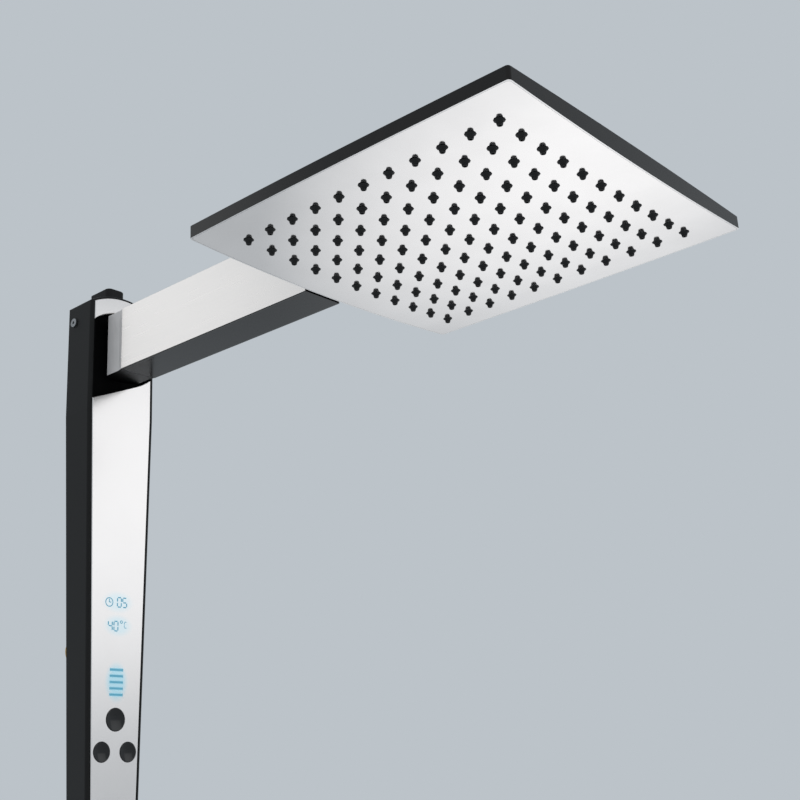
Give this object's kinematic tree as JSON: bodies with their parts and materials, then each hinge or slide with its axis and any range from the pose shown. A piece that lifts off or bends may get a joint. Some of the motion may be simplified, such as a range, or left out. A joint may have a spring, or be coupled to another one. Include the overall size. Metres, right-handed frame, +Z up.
{
  "type": "electric shower",
  "caption": "Wall-mounted electric shower: slim heating column with keys and a display, a swinging arm and a square rain head.",
  "frame": {"origin": "centre of the water inlet on the wall plane, where the inlet stub leaves the back of the column", "axes": "+X to the right for someone facing the wall, +Y into the wall along the inlet, +Z up"},
  "size_m": [0.222, 0.4733, 0.3655],
  "materials": {
    "grey_shell": "satin dark grey moulding",
    "silver_fascia": "satin silver",
    "black_plastic": "satin black",
    "silver_plate": "satin silver",
    "grey_knuckle": "satin grey",
    "dark_shell": "satin dark grey",
    "bright_face": "satin chrome",
    "black_silicone": "matte black",
    "steel": "plain",
    "dark_steel": "blackened",
    "brass": "plain",
    "white_plastic": "natural",
    "tank_plastic": "glass-filled black",
    "element_sheath": "plain",
    "board_green": "soldermask",
    "black_component": "moulded",
    "light_blue": "lit light guide"
  },
  "bodies": {
    "column": {"casing_rear": "grey_shell", "bottom_cap": "grey_shell", "cap_screws": "steel", "fascia_lower": "silver_fascia", "fascia_upper": "silver_fascia", "arm_pocket": "black_plastic", "wire_hood": "grey_shell", "wall_bracket": "steel", "bracket_screws": "steel", "side_screws": "dark_steel", "inlet_nipple": "brass", "inlet_filter": "steel", "valve_body": "white_plastic", "valve_diaphragm": "black_silicone", "valve_cover": "black_plastic", "valve_screws": "steel", "feed_tube": "white_plastic", "heating_chamber": "tank_plastic", "chamber_gasket": "black_silicone", "chamber_lid": "tank_plastic", "lid_screws": "steel", "heating_element": "element_sheath", "riser_tube": "white_plastic", "outlet_elbow": "white_plastic", "neck_tube": "brass", "swivel_barrel": "brass", "swivel_seals": "black_silicone", "power_board": "board_green", "power_triac": "black_component", "terminal_block": "white_plastic", "display_board": "board_green", "board_screws": "steel", "board_switches": "black_component", "display_module": "black_plastic", "level_lights": "light_blue"},
    "arm": {"arm_knuckle": "grey_knuckle", "knuckle_screws": "steel", "swivel_cap": "silver_plate", "arm_beam": "black_plastic", "arm_top_cover": "silver_plate", "arm_plate_left": "silver_plate", "arm_plate_right": "silver_plate", "arm_end_cap": "silver_plate", "arm_tube": "white_plastic", "tilt_hub": "grey_knuckle", "hub_screws": "steel"},
    "head": {"head_shell": "dark_shell", "face_plate": "bright_face", "nozzle_mat": "black_silicone", "head_gasket": "black_silicone", "head_screws": "steel", "tilt_fork": "grey_knuckle", "fork_screws": "steel", "tilt_barrel": "brass", "tilt_seals": "black_silicone"},
    "power_key": {"button_power": "black_plastic"},
    "minus_key": {"button_minus": "black_plastic"},
    "plus_key": {"button_plus": "black_plastic"},
    "plunger": {"flow_plunger": "white_plastic"}
  },
  "joints": [
    {"name": "arm_swing", "type": "hinge", "parent": "column", "child": "arm", "pos_m": [0, -0.042, 0.21], "axis": [0, 0, 1], "range_deg": [-30, 30]},
    {"name": "head_tilt", "type": "hinge", "parent": "arm", "child": "head", "pos_m": [0, -0.3483, 0.207], "axis": [1, 0, 0], "range_deg": [-10, 10]},
    {"name": "power_press", "type": "slide", "parent": "column", "child": "power_key", "axis": [0, 1, 0], "range_m": [0, 0.0008], "stiffness_N_per_m": 1500, "springref_m": -0.0004},
    {"name": "minus_press", "type": "slide", "parent": "column", "child": "minus_key", "axis": [0, 1, 0], "range_m": [0, 0.0008], "stiffness_N_per_m": 1500, "springref_m": -0.0004},
    {"name": "plus_press", "type": "slide", "parent": "column", "child": "plus_key", "axis": [0, 1, 0], "range_m": [0, 0.0008], "stiffness_N_per_m": 1500, "springref_m": -0.0004},
    {"name": "plunger_slide", "type": "slide", "parent": "column", "child": "plunger", "axis": [0, -1, 0], "range_m": [0, 0.0012], "stiffness_N_per_m": 800, "springref_m": -0.0005}
  ]
}
